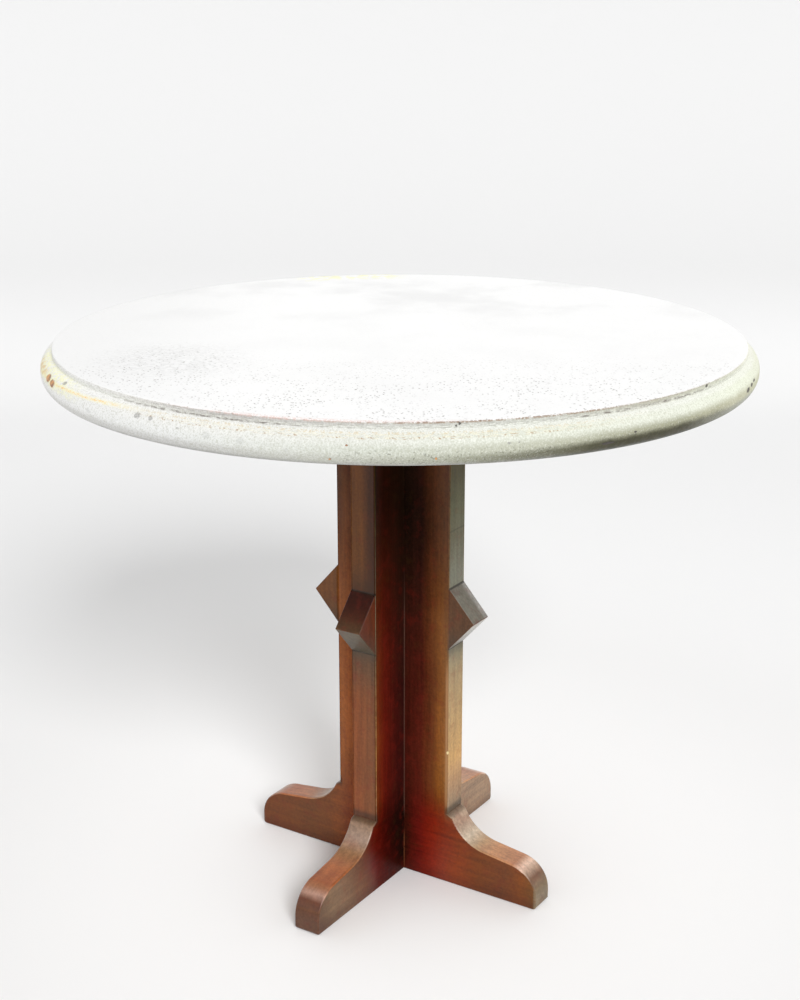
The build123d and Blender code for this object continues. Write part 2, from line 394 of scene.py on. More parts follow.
class StainedWood(Shader):
    """Red-brown stain under satin varnish: rubbed and painted lighter at the edges, dull where dust and feet
    reach it, with painted shade in the inner corners and under the top, and painted glare and sheen.
    """

    def __init__(self, name, grain):
        super().__init__(name)
        squeeze = {"x": (0.045, 1, 1), "y": (1, 0.045, 1), "z": (1, 1, 0.045)}[grain]
        along = self.vector("MULTIPLY", self.position, squeeze)
        self.streaks = self.noise(230, along, detail=6, roughness=0.62)
        self.figure = self.noise(70, along, detail=3, roughness=0.5, distortion=0.6)
        self.pores = self.cells(1100, along)
        self.blotch = self.noise(22, detail=3)
        self.rubbed = self.noise(85, detail=5, roughness=0.65)
        self.mottle = self.noise(420, detail=3)
        self.facing_x, _, self.facing_z = self.facing()
        self.turned = self.size(self.facing_x)
        self.faces_right = self.step(self.facing_x, 0.5, 0.9)
        self.measure()
        self.find_parts()

    def measure(self):
        """Where a point is. Reach, along an arm, and level, up it, wander with the grain.

        Reach and tilted are in millimetres. Tilted is the reach leaned over for the feet's sides.
        """
        self.arm = self.greatest(self.size(self.x), self.size(self.y))
        self.across = self.least(self.size(self.x), self.size(self.y))
        self.wander = self.sum(self.product(self.figure, 0.008), self.product(self.blotch, 0.01), -0.009)
        self.reach = self.product(self.sum(self.arm, self.wander), MM)
        self.level = self.sum(self.z, self.product(self.blotch, 0.06), -0.03)
        instep = self.product(self.least(self.z, 0.032), -420)
        self.tilted = self.sum(self.reach, instep, 6)

    def find_parts(self):
        """Masks of the arms and of the column's, diamonds' and feet's faces."""
        self.on_left = self.step(self.x, 0.0, -0.03)
        self.on_right = self.step(self.x, 0.02, 0.05)
        self.far_right = self.step(self.x, 0.03, 0.05)
        self.on_front = self.step(self.y, -0.03, -0.06)
        self.on_back = self.step(self.y, 0.03, 0.06)
        self.above_beam = self.step(self.z, BEAM_TOP, BEAM_TOP + 0.0005)
        outermost = self.step(self.arm, COLUMN_EDGE - 0.001, COLUMN_EDGE - 0.0003)
        self.on_end = self.product(outermost, self.above_beam)
        self.upward = self.product(self.step(self.facing_z, 0.08, 0.5), self.inverse(self.above_beam))
        self.toe_end = self.step(self.arm, FOOT_REACH - 0.003, FOOT_REACH - 0.0012)
        self.in_diamond = self.product(
            self.band(self.z, DIAMOND_MIDDLE, DIAMOND_HALF_HEIGHT, 0.0002),
            self.step(self.arm, COLUMN_EDGE, COLUMN_EDGE + 0.0004),
        )
        self.on_foot = self.product(self.step(self.z, *COLUMN_TO_FOOT), self.inverse(self.on_end))

    def column_sides(self):
        """Redder low down and darker high up and in the inner corners, painted shade, and warmer towards the
        left edge.
        """
        # painted shade: darker high up under the top and in the inner corners
        side = self.ramps(self.step(self.level, 0.36, 0.14), self.reach, SIDE_HIGH, SIDE_LOW)
        warm_left = self.product(
            self.on_left,
            self.step(self.reach, 36, 50),
            self.step(self.level, 0.42, 0.15),
            0.6,
        )
        side = self.mix(warm_left, side, (0.4, 0.1, 0.016))
        cross = self.ramps(self.step(self.level, 0.41, 0.12), self.reach, CROSS_HIGH, CROSS_LOW)
        return self.mix(self.turned, side, cross)

    def arm_ends(self):
        """The left and front arms end in brown wood, darker high up and by the front diamond with painted
        shade, and the right one in pale wood, a painted sheen on partly bleached wood.
        """
        low = self.mix(self.step(self.x, -0.009, 0.011), (0.186, 0.051, 0.012), (0.146, 0.05, 0.016))
        # painted shade: the arms' ends darker high up, under the top
        high = self.mix(self.step(self.x, -0.006, 0.011), (0.14, 0.046, 0.006), (0.048, 0.013, 0.003))
        # painted shade: a duller band on the front arm's end by its diamond
        dull = self.product(self.on_front, self.step(self.level, 0.185, 0.225))
        low = self.mix(dull, low, (0.098, 0.046, 0.021))
        end = self.mix(self.step(self.level, 0.24, 0.3), low, high)
        # painted sheen on partly bleached wood at the right-hand arm's end
        sheen_and_bleach = self.ramp(self.product(self.z, MM), RIGHT_END_SHEEN)
        return self.mix(self.faces_right, end, sheen_and_bleach)

    def diamonds(self):
        """The blocks' flat faces, and their slopes: the upper ones pale grey on the right, the lower ones a
        painted glare, greenish grey and pale on the right.
        """
        block = self.mix(self.on_left, (0.092, 0.04, 0.016), (0.15, 0.053, 0.012))
        block = self.mix(self.turned, block, (0.09, 0.02, 0.006))
        greyed = self.mix(self.step(self.y, 0.004, 0.01), (0.132, 0.124, 0.098), (0.27, 0.265, 0.245))
        slope_up = self.mix(self.on_right, self.ramp(self.product(self.arm, MM), SLOPE), greyed)
        # painted glare: the lower slopes take the floor's reflection, greenish grey and pale on the right
        lower_slope_glare = self.mix(self.on_right, (0.086, 0.062, 0.028), (0.4, 0.38, 0.33))
        block = self.mix(self.step(self.facing_z, 0.3, 0.6), block, slope_up)
        return self.mix(self.step(self.facing_z, -0.3, -0.6), block, lower_slope_glare)

    def feet(self):
        """The beams' sides, and the upper faces, which are paler on the right and back with a painted glare;
        the back foot's right-facing side is a painted sheen.
        """
        side = self.ramps(self.on_left, self.reach, FOOT_RIGHT, FOOT_LEFT)
        # painted sheen: the back foot's side facing right is pale, like the right arm's end
        cross = self.mix(self.on_back, self.ramp(self.tilted, FOOT_CROSS), (0.285, 0.178, 0.104))
        foot = self.mix(self.turned, side, cross)
        reach = self.product(self.sum(self.arm, self.product(self.wander, 0.35)), MM)
        darker = self.greatest(self.on_front, self.product(self.on_left, 0.8))
        # painted glare and rubbed wear on the upper faces
        top = self.ramps(darker, reach, TOP_PALE, TOP_DARK)
        return self.mix(self.greatest(self.upward, self.toe_end), foot, top)

    def stain(self):
        """Every part's colour, made lighter or darker by grain, mottling and blotches."""
        colour = self.mix(self.on_end, self.column_sides(), self.arm_ends())
        colour = self.mix(self.in_diamond, colour, self.diamonds())
        colour = self.mix(self.on_foot, colour, self.feet())
        grain = self.product(self.streaks, 1.1)
        gain = self.sum(grain, self.product(self.mottle, 0.8), self.product(self.blotch, 0.6), -0.25)
        return self.shade(colour, gain)

    def blotches(self):
        """Red and olive blotches, and dark pores."""
        lower = self.step(self.level, 0.42, 0.22, to=(0.3, 1.0))
        red = self.product(self.step(self.rubbed, 0.5, 0.68), lower)
        olive = self.product(self.step(self.rubbed, 0.46, 0.3), self.inverse(self.on_end))
        return (
            (red, 0.25, (0.16, 0.012, 0.006)),
            (olive, 0.1, (0.085, 0.05, 0.012)),
            (self.step(self.pores, 0.2, 0.06), 0.35, (0.008, 0.003, 0.002)),
        )

    def worn_and_highlit_edges(self):
        """Corners of the column's boards: dark on most arms, rubbed pale on the right one, and a painted
        highlight beside the right arm's end low down.
        """
        beside_diamond = self.band(self.z, DIAMOND_MIDDLE, DIAMOND_HALF_HEIGHT - 0.001, 0.001)
        corners = self.product(
            self.band(self.across, HALF_BOARD, 0.0011, 0.0007),
            self.band(self.arm, COLUMN_EDGE, 0.0011, 0.0007),
            self.step(self.rubbed, 0.3, 0.6),
            self.above_beam,
            self.inverse(beside_diamond),
        )
        # painted highlight: a bright strip beside the right arm's end, low down
        edge_highlight = self.product(
            self.step(self.arm, COLUMN_EDGE - 0.0038, COLUMN_EDGE - 0.0012),
            self.far_right,
            self.step(self.level, 0.235, 0.195),
            self.inverse(self.on_foot),
            self.inverse(self.on_end),
        )
        return (
            (corners, 0.3, self.mix(self.far_right, (0.01, 0.004, 0.002), (0.25, 0.145, 0.05))),
            (edge_highlight, 0.85, (0.4, 0.215, 0.095)),
        )

    def seams(self):
        """The inner corners where the boards cross: dusty up the column, rubbed near the floor."""
        corner = self.step(self.arm, HALF_BOARD + 0.001, HALF_BOARD + 0.0004)
        seam = self.product(corner, self.step(self.streaks, 0.3, 0.45))
        greyed = self.product(seam, self.step(self.z, 0.31, 0.24), self.step(self.z, 0.05, 0.07))
        rubbed = self.product(seam, self.step(self.z, 0.045, 0.03))
        return (
            (greyed, 0.24, (0.24, 0.15, 0.11)),
            (rubbed, 0.5, (0.22, 0.075, 0.03)),
        )

    def column_shade_and_joints(self):
        """Painted shade above and below the diamonds, dark joint lines beside them, and a painted shadow
        edge of the top across the right arm's end.
        """
        ragged_z = self.sum(self.z, self.product(self.rubbed, 0.016))
        # painted shade: a dark band on the arms' ends above the diamonds
        above = self.product(
            self.on_end,
            self.step(ragged_z, diamond_high.z + 0.04, diamond_high.z + 0.006),
            self.step(self.z, diamond_high.z - 0.001, diamond_high.z),
            self.step(self.x, 0.05, 0.025),
        )
        joints = self.greatest(
            self.band(self.z, diamond_high.z, 0.0005, 0.0009),
            self.band(self.z, diamond_low.z, 0.0004, 0.0008),
        )
        # painted shadow: a thin dark line where the top's shadow edge falls on the right arm's end
        painted_shadow_edge = self.product(
            self.faces_right,
            self.on_end,
            self.band(self.z, SHADOW_EDGE_Z, 0.0003, 0.0007),
            self.step(self.mottle, 0.3, 0.5),
        )
        # painted shade: darker just below the diamonds
        below = self.product(
            self.step(self.arm, COLUMN_EDGE - 0.003, COLUMN_EDGE),
            self.step(self.z, diamond_low.z - 0.012, diamond_low.z),
            self.step(self.z, DIAMOND_MIDDLE, diamond_low.z),
        )
        return (
            (above, 0.7, (0.036, 0.015, 0.006)),
            (self.product(self.on_end, joints), 0.72, (0.012, 0.01, 0.008)),
            (painted_shadow_edge, 0.5, (0.03, 0.026, 0.016)),
            (below, 0.55, (0.055, 0.045, 0.032)),
        )

    def foot_marks_and_shade(self):
        """A dark joint line with painted shade in the corner where the column stands on the feet, a dark
        lower edge, and one fresh nick.
        """
        # dark joint line and painted shade in the corner above the feet's shoulder
        shoulder = self.product(
            self.step(self.arm, COLUMN_EDGE - 0.004, COLUMN_EDGE - 0.001),
            self.band(self.z, BEAM_TOP + 0.002, 0.0015, 0.006),
        )
        low_edge = self.product(
            self.step(self.z, 0.016, 0.002),
            self.inverse(self.upward),
            self.inverse(self.toe_end),
        )
        nick = self.spot((COLUMN_EDGE, -HALF_BOARD, NICK_Z), 0.0011, 0.0008)
        return (
            (shoulder, 0.62, (0.02, 0.014, 0.01)),
            (low_edge, 0.35, (0.05, 0.008, 0.004)),
            (nick, 0.9, (0.72, 0.58, 0.3)),
        )

    def varnish(self):
        """Weight of the varnish: most on top of the feet, then far out on the arms, none on worn corners."""
        foot_crease = self.product(self.turned, self.on_foot, self.step(self.tilted, 80, 45), 14)
        dull = self.sum(self.product(self.turned, 9), foot_crease)
        outer = self.step(self.difference(self.reach, dull), 33, 60)
        polish = self.greatest(self.product(outer, 0.26), self.product(self.upward, 0.45))
        corner = self.product(
            self.band(self.across, HALF_BOARD, 0.0012, 0.0004),
            self.band(self.arm, COLUMN_EDGE, 0.0012, 0.0004),
            self.above_beam,
            self.step(self.x, 0.05, 0.03),
        )
        return self.product(polish, 2.0, self.inverse(corner))

    def build(self):
        colour = self.layers(
            self.stain(),
            *self.blotches(),
            *self.worn_and_highlit_edges(),
            *self.seams(),
            *self.column_shade_and_joints(),
            *self.foot_marks_and_shade(),
        )
        self.bumps(
            (self.blotch, 0.003, 0.1),
            (self.streaks, 0.0004, 0.2),
            (self.pores, 0.0003, 0.2),
            (self.rubbed, 0.0008, 0.14),
        )
        roughness = self.step(self.rubbed, 0.3, 0.75, to=(0.28, 0.46))
        return self.finish(colour, roughness, specular=0.05, coat=self.varnish(), coat_roughness=0.36)


# ---- worn white paint
# paint of the nose by azimuth, in degrees from the front towards the right: white on the left, yellowed and
# darker towards the right, darkening from the crest down with painted shade under the nose, and very dark
# low on the right
CREST = (
    (-30, 0.86, 0.86, 0.85),
    (0, 0.75, 0.75, 0.73),
    (30, 0.61, 0.62, 0.57),
    (50, 0.59, 0.61, 0.53),
    (75, 0.67, 0.69, 0.6),
    (95, 0.74, 0.77, 0.63),
    (118, 0.78, 0.79, 0.64),
)
MIDDLE = (
    (-30, 0.93, 0.93, 0.92),
    (0, 0.75, 0.76, 0.75),
    (30, 0.53, 0.55, 0.48),
    (50, 0.44, 0.45, 0.36),
    (66, 0.31, 0.31, 0.215),
    (76, 0.29, 0.29, 0.19),
    (92, 0.46, 0.45, 0.31),
    (108, 0.53, 0.53, 0.35),
)
LOW = (
    (-30, 0.73, 0.73, 0.71),
    (0, 0.6, 0.6, 0.59),
    (26, 0.5, 0.51, 0.45),
    (38, 0.36, 0.37, 0.29),
    (50, 0.135, 0.135, 0.084),
    (56, 0.112, 0.11, 0.062),
    (62, 0.045, 0.042, 0.013),
    (76, 0.05, 0.046, 0.018),
    (86, 0.22, 0.22, 0.17),
    (98, 0.38, 0.39, 0.33),
    (112, 0.5, 0.52, 0.42),
)
UNDER = (
    (-30, 0.42, 0.42, 0.42),
    (14, 0.38, 0.385, 0.37),
    (34, 0.5, 0.505, 0.48),
    (46, 0.27, 0.275, 0.25),
    (58, 0.12, 0.125, 0.105),
    (68, 0.15, 0.155, 0.13),
    (82, 0.1, 0.105, 0.09),
    (98, 0.2, 0.205, 0.18),
    (110, 0.38, 0.385, 0.35),
)
# the step between the deck and the nose is dirtiest near the front
STEP = (
    (-26, 0.88, 0.88, 0.86),
    (-8, 0.73, 0.72, 0.69),
    (8, 0.5, 0.48, 0.47),
    (30, 0.52, 0.52, 0.49),
    (55, 0.54, 0.55, 0.5),
    (72, 0.45, 0.44, 0.36),
    (90, 0.62, 0.64, 0.52),
    (106, 0.84, 0.84, 0.72),
)

# oval marks on the rim: azimuth in degrees from the front towards the right, then in
# millimetres the height above the underside, the half width and the half height
BARE_CHIPS = (
    (-35.2, 20.15, 6.4, 2.9),
    (-32.4, 18.95, 6, 2.7),
    (25.7, 17.25, 0.8, 0.7),
    (23.4, 6.35, 0.9, 0.9),
    (37.4, 7.55, 0.8, 0.8),
)
DARK_NICKS = (
    (97.4, 14.15, 4.4, 2),
    (99.6, 15.75, 3.4, 1.5),
    (101.6, 17.15, 3.6, 1.1),
    (62, 8.35, 6, 0.9),
    (66.6, 13.35, 1.3, 0.7),
    (40.3, 28.75, 0.8, 0.8),
    (40.8, 30.15, 0.9, 1),
    (84.9, 29.95, 1.6, 0.9),
)
GREY_DENTS = (
    (-6.7, 20.65, 3, 2),
    (-4.1, 20.95, 2.2, 1.4),
    (-27.8, 23.95, 3.4, 1.1),
    (171, 16.75, 2.2, 1.2),
    (-141, 12.25, 3, 1.3),
    (128, 19.25, 1.6, 1),
    (47.2, 16.75, 1, 0.8),
    (48.6, 16.85, 0.8, 0.7),
    (1, 17.95, 1.2, 0.5),
)
SOFT_STAINS = (
    (5.7, 15.95, 3, 2.8),
    (10.9, 15.05, 3, 2.8),
    (17.5, 11.75, 1.6, 1.3),
    (-18, 13.75, 3, 1.6),
    (152, 12.75, 5, 2.2),
    (-118, 15.75, 3.6, 2.6),
)

# heights between which the nose changes from one colour to the next
TO_MIDDLE = (CREST_Z + 0.0067, CREST_Z - 0.0005)
TO_LOW = (CREST_Z - 0.0015, CREST_Z - 0.0073)
TO_TOP = (CREST_Z + 0.0087, CREST_Z + 0.012)
TO_UNDER = (CREST_Z - 0.009, CREST_Z - 0.013)
TO_SHADE_BEHIND = (CREST_Z - 0.0055, CREST_Z - 0.013)
UP_THE_STEP = (TABLE_HEIGHT - 0.002, TABLE_HEIGHT - 0.0038)

# other places on the rim: azimuths in degrees, heights in metres
DARK_PATCH_AZIMUTH = 69
DARK_PATCH_Z = CREST_Z - 0.0075
WORN_RING_Z = CREST_Z + 0.0078
STREAK_Z = CREST_Z + 0.0113
STREAK_RISE = 0.00017
YELLOW_END_Z = CREST_Z + 0.007
ORANGE_END_Z = CREST_Z + 0.005
LEFT_PATCH = (-0.1, -0.185, TABLE_HEIGHT)


class WhitePaint(Shader):
    """Chalky white paint over bare wood, rubbed through along the mouldings and pitted on the deck."""

    def __init__(self, name):
        super().__init__(name)
        self.radius = self.from_axis()
        angle = self.round_angle()
        self.azimuth = self.product(angle, 180 / math.pi)
        self.ragged = self.shaken(0.0022, 420)
        self.speckle = self.noise(820, detail=3, roughness=0.7)
        self.stipple = self.noise(300, detail=3)
        self.soft = self.noise(60, detail=4)
        self.cloud = self.noise(10, detail=4, roughness=0.6)
        self.beads = self.noise(540, detail=2)
        self.clumps = self.noise(200, detail=3)
        round_rim = self.combine(self.product(angle, 0.03), self.z, 0.0)
        self.drag = self.noise(1500, round_rim, detail=3, roughness=0.7)
        self.find_parts()
        self.find_marks()

    def find_parts(self):
        """Masks of the deck, the nose and the sides of the rim, and the two coordinates that wander."""
        self.near = self.vector("DOT_PRODUCT", self.position, FORWARD)
        self.below_deck = self.step(self.z, TABLE_HEIGHT - 0.0001, TABLE_HEIGHT - 0.0006)
        self.on_deck = self.inverse(self.below_deck)
        self.nose = self.step(self.z, STEP_Z + 0.0004, STEP_Z - 0.0004)
        self.behind = self.step(self.size(self.azimuth), 118, 150)
        self.worn_side = self.product(self.step(self.azimuth, -24, 4), self.step(self.azimuth, 112, 84))
        front_side = self.product(self.step(self.azimuth, -16, 2), self.step(self.azimuth, 76, 46))
        self.front_nose = self.product(front_side, self.nose)
        self.dark_patch = self.product(
            self.band(self.azimuth, DARK_PATCH_AZIMUTH, 9, 14),
            self.band(self.z, DARK_PATCH_Z, 0.004, 0.003),
        )
        self.left_patch = self.spot(LEFT_PATCH, 0.02, 0.065)
        wander = self.sum(self.product(self.soft, 0.003), self.product(self.stipple, 0.0012), -0.0021)
        self.uneven = self.sum(self.z, wander)
        self.turn = self.sum(self.azimuth, self.product(self.soft, 10), -5)

    def find_marks(self):
        """Masks of the pits, chips, nicks, dents and stains."""
        patchy = self.step(self.noise(24, detail=3), 0.36, 0.56)
        pitted_front = self.product(self.step(self.near, 0.06, 0.215), patchy)
        pitted = self.sum(pitted_front, self.product(self.left_patch, 0.6), 0.06)
        hollows = self.step(self.cells(300, self.ragged), 0.3, 0.16)
        broken = self.step(self.noise(480, detail=2), 0.44, 0.52)
        self.pits = self.product(hollows, broken, pitted, self.on_deck)

        wobble = self.vector("SUBTRACT", self.ragged, self.position)
        along_rim = self.product(self.azimuth, math.radians(1) * TOP_RADIUS)
        place = self.vector("ADD", self.combine(along_rim, self.z, 0.0), wobble)
        self.chips = self.product(self.ovals(place, BARE_CHIPS, 0.18), self.below_deck)
        self.nicks = self.product(self.ovals(place, DARK_NICKS, 0.25), self.below_deck)
        grainy = self.step(self.speckle, 0.3, 0.6, to=(0.5, 1.0))
        self.dents = self.product(self.ovals(place, GREY_DENTS, 0.3), self.below_deck, grainy)
        self.stains = self.product(self.ovals(place, SOFT_STAINS, 0.6), self.below_deck)

    def nose_colour(self):
        """From the crest down to the underside: painted light on top of the nose and painted shade going
        down under it, at the back too.
        """
        colour = self.ramps(self.step(self.uneven, *TO_MIDDLE), self.turn, CREST, MIDDLE)
        lift = self.band(self.azimuth, DARK_PATCH_AZIMUTH + 2, 9, 14)
        raised = self.math("MULTIPLY_ADD", lift, -0.0015, self.uneven)
        colour = self.mix(self.step(raised, *TO_LOW), colour, self.ramp(self.turn, LOW))
        # painted light: the top of the nose paler
        topmost = self.product(self.step(self.uneven, *TO_TOP), 0.45)
        colour = self.mix(topmost, colour, (0.92, 0.92, 0.9))
        # painted shade: the underside of the nose darkest
        colour = self.mix(self.step(self.uneven, *TO_UNDER), colour, self.ramp(self.turn, UNDER))
        colour = self.mix(self.product(self.behind, 0.85), colour, (0.8, 0.8, 0.745))
        # painted shade on the lower nose at the back
        shade_low_behind = self.product(self.behind, self.step(self.uneven, *TO_SHADE_BEHIND), 0.35)
        return self.mix(shade_low_behind, colour, (0.42, 0.42, 0.38))

    def step_colour(self):
        """The low upright face between the deck and the nose."""
        lower = self.step(self.z, *UP_THE_STEP, to=(0.0, 0.45))
        colour = self.mix(lower, self.ramp(self.turn, STEP), (0.82, 0.84, 0.78))
        return self.mix(self.behind, colour, (0.8, 0.8, 0.76))

    def deck_colour(self):
        """White in faint clouds, a little darker at the far left."""
        colour = self.mix(self.step(self.cloud, 0.35, 0.75), (0.94, 0.94, 0.935), (0.91, 0.91, 0.905))
        sideways = self.vector("DOT_PRODUCT", self.position, SIDEWAYS)
        return self.mix(self.step(sideways, -0.1, -0.28), colour, (0.865, 0.865, 0.86))

    def clean_paint(self):
        moulding = self.mix(self.nose, self.step_colour(), self.nose_colour())
        return self.mix(self.below_deck, self.deck_colour(), moulding)

    def deck_wear(self):
        """Smudges, a yellowed patch at the back, pits, and a rubbed patch by the front edge."""
        far_back = self.step(self.near, -0.02, -0.16)
        back_smudge = self.product(far_back, self.step(self.cloud, 0.46, 0.66))
        left_smudge = self.product(self.left_patch, self.step(self.stipple, 0.4, 0.62))
        yellowed = self.product(
            self.band(self.azimuth, -137, 7, 6),
            self.step(self.radius, 0.262, 0.284),
            self.step(self.noise(110, detail=3), 0.4, 0.6),
        )
        rubbed = self.product(
            self.band(self.azimuth, 24, 10, 12),
            self.step(self.radius, 0.287, 0.2925),
            self.step(self.speckle, 0.44, 0.62),
            self.on_deck,
        )
        return (
            (back_smudge, 0.2, (0.6, 0.6, 0.6)),
            (left_smudge, 0.28, (0.55, 0.55, 0.54)),
            (yellowed, 0.6, (0.93, 0.92, 0.46)),
            (self.pits, 0.88, (0.25, 0.235, 0.2)),
            (rubbed, 0.62, (0.74, 0.44, 0.36)),
        )

    def grit(self):
        """Fine grain of the old paint, coarse and black in the dark patch low on the right."""
        flecks = self.product(
            self.band(self.azimuth, 58, 26, 14),
            self.step(self.z, CREST_Z + 0.004, CREST_Z - 0.004),
            self.step(self.beads, 0.56, 0.68),
        )
        clean = self.product(self.below_deck, self.inverse(self.dark_patch))
        dark_grain = self.product(self.step(self.speckle, 0.5, 0.62), clean)
        pale_grain = self.product(self.step(self.speckle, 0.5, 0.36), clean)
        black_grain = self.product(self.step(self.speckle, 0.44, 0.56), self.dark_patch)
        return (
            (flecks, 0.55, (0.034, 0.032, 0.014)),
            (dark_grain, 0.42, (0.4, 0.4, 0.3)),
            (black_grain, 0.32, (0.012, 0.011, 0.006)),
            (pale_grain, 0.24, (0.97, 0.98, 0.92)),
            (self.stains, 0.26, (0.42, 0.43, 0.42)),
        )

    def step_wear(self):
        """Dirt in the step, a broken dark line below it, and a rubbed line on the deck's edge."""
        in_step = self.band(self.radius, DECK_RADIUS, 0.001, 0.0012)
        anywhere = self.greatest(self.worn_side, 0.32)
        dirt = self.product(
            in_step,
            self.below_deck,
            self.inverse(self.nose),
            anywhere,
            self.step(self.drag, 0.44, 0.6),
        )
        beside = self.sum(self.band(self.azimuth, 2, 9, 11), self.band(self.azimuth, 70, 6, 12), 0.2)
        drop = self.step(self.azimuth, 20, 50, to=(0.0, -0.0011))
        height = self.sum(self.z, drop, self.product(self.soft, 0.0012), -0.0006)
        quirk = self.product(
            self.band(height, STEP_Z + 0.0004, 0.0004, 0.0006),
            self.step(self.clumps, 0.32, 0.56),
            self.step(self.drag, 0.4, 0.52),
            self.least(beside, 1.0),
            anywhere,
        )
        return (
            (dirt, 0.46, (0.24, 0.23, 0.21)),
            (quirk, 0.72, (0.11, 0.08, 0.07)),
            (self.rubbed_edge(), 0.8, self.rubbed_edge_colour()),
        )

    def rubbed_edge(self):
        """A broken line on the deck's edge, strongest at the front and right."""
        front = self.step(self.azimuth, -8, 16, to=(0.0, 0.55))
        right = self.band(self.azimuth, 47, 9, 9)
        fading = self.step(self.azimuth, 60, 74, to=(0.0, -0.2))
        return self.product(
            self.band(self.radius, DECK_RADIUS - 0.0004, 0.0006, 0.0004),
            self.step(self.z, TABLE_HEIGHT - 0.0016, TABLE_HEIGHT - 0.0008),
            self.step(self.clumps, 0.32, 0.5),
            self.step(self.beads, 0.32, 0.54),
            self.least(self.sum(front, right, fading), 1.0),
            self.step(self.azimuth, 112, 84, to=(0.12, 1.0)),
        )

    def rubbed_edge_colour(self):
        """Pink-brown at the front and dark brown at the right."""
        return self.mix(self.step(self.turn, 12, 38), (0.62, 0.34, 0.28), (0.24, 0.145, 0.085))

    def worn_ring(self):
        """Dots and a haze along the nose where it is rubbed through, on the front side."""
        haze = self.product(
            self.band(self.z, WORN_RING_Z + 0.001, 0.0012, 0.0012),
            self.step(self.drag, 0.46, 0.6),
            self.front_nose,
        )
        upper_dots = self.product(
            self.band(self.z, STEP_Z - 0.0018, 0.0004, 0.0006),
            self.step(self.beads, 0.48, 0.6),
            self.front_nose,
        )
        dots = self.product(
            self.band(self.z, WORN_RING_Z, 0.0004, 0.0006),
            self.step(self.beads, 0.5, 0.6),
            self.step(self.drag, 0.46, 0.56),
            self.front_nose,
        )
        return (
            (haze, 0.3, (0.86, 0.78, 0.52)),
            (upper_dots, 0.45, (0.6, 0.46, 0.24)),
            (dots, 0.88, (0.32, 0.18, 0.08)),
        )

    def left_end(self):
        """The nose at the left: a yellow haze, a rising yellow streak, orange dashes and an orange spot."""
        line = self.math("MULTIPLY_ADD", self.azimuth, STREAK_RISE, STREAK_Z)
        line = self.sum(line, self.product(self.stipple, 0.0012), -0.0006)
        away = self.size(self.difference(self.z, line))
        yellow = self.product(
            self.band(self.azimuth, -38, 7, 12),
            self.band(self.z, YELLOW_END_Z, 0.004, 0.004),
            self.step(self.stipple, 0.34, 0.62),
        )
        streak = self.product(
            self.step(away, 0.0022, 0.0004),
            self.band(self.azimuth, -26, 9, 13),
            self.step(self.speckle, 0.34, 0.6),
            self.nose,
        )
        dashes = self.product(
            self.step(away, 0.001, 0.0003),
            self.band(self.azimuth, -24, 7, 10),
            self.step(self.drag, 0.5, 0.56),
            self.nose,
        )
        orange = self.product(
            self.band(self.azimuth, -43, 3, 4),
            self.band(self.z, ORANGE_END_Z, 0.003, 0.003),
            self.step(self.clumps, 0.48, 0.56),
        )
        return (
            (yellow, 0.62, (0.96, 0.95, 0.5)),
            (streak, 0.62, (0.96, 0.88, 0.42)),
            (dashes, 0.85, (0.9, 0.52, 0.14)),
            (orange, 0.62, (0.76, 0.48, 0.14)),
        )

    def specks(self):
        """Tiny specks all round the nose, and stray worn dots at the back."""
        dots = self.step(self.cells(430, self.ragged), 0.15, 0.07)
        fine = self.product(dots, self.nose, self.step(self.soft, 0.5, 0.62))
        stray = self.product(
            self.band(self.z, WORN_RING_Z - 0.001, 0.003, 0.006),
            self.step(self.beads, 0.6, 0.68),
            self.step(self.soft, 0.5, 0.6),
            self.behind,
            self.nose,
        )
        return (
            (fine, 0.4, (0.36, 0.34, 0.24)),
            (stray, 0.45, (0.34, 0.24, 0.14)),
        )

    def dents_and_chips(self):
        bare_spot = self.mix(self.step(self.clumps, 0.4, 0.56), (0.66, 0.3, 0.1), (0.3, 0.13, 0.06))
        return (
            (self.dents, 0.72, (0.24, 0.235, 0.225)),
            (self.chips, 0.92, bare_spot),
            (self.nicks, 0.9, (0.06, 0.05, 0.045)),
        )

    def bare_underside(self, painted):
        """Bare wood of the five boards, each with its own grain, inside a ragged edge of paint."""
        board = self.math("FLOOR", self.math("DIVIDE", self.difference(self.x, JOINT_X), BOARD_WIDTH))
        shifted = self.math("MULTIPLY_ADD", board, 3.7, self.product(self.y, 0.05))
        rings = self.noise(120, self.combine(self.x, shifted, self.z), detail=4, distortion=0.8)
        wood = self.mix(self.step(rings, 0.35, 0.68), (0.5, 0.34, 0.19), (0.3, 0.17, 0.085))
        ragged_radius = self.sum(self.radius, self.product(self.soft, 0.03))
        bare = self.product(
            self.step(self.z, UNDERSIDE + 0.0006, UNDERSIDE + 0.0001),
            self.step(ragged_radius, DECK_RADIUS + 0.016, DECK_RADIUS + 0.006),
        )
        return self.mix(bare, painted, wood)

    def build(self):
        painted = self.layers(
            self.clean_paint(),
            *self.deck_wear(),
            *self.grit(),
            *self.step_wear(),
            *self.worn_ring(),
            *self.left_end(),
            *self.specks(),
            *self.dents_and_chips(),
        )
        hollow = self.inverse(self.greatest(self.chips, self.pits, self.nicks))
        self.bumps(
            (self.soft, 0.002, 0.16),
            (self.stipple, 0.0008, 0.4),
            (self.speckle, 0.0004, 0.4),
            (hollow, 0.0006, 0.8),
        )
        roughness = self.step(self.stipple, 0.3, 0.7, to=(0.46, 0.62))
        return self.finish(self.bare_underside(painted), roughness, specular=0.45)


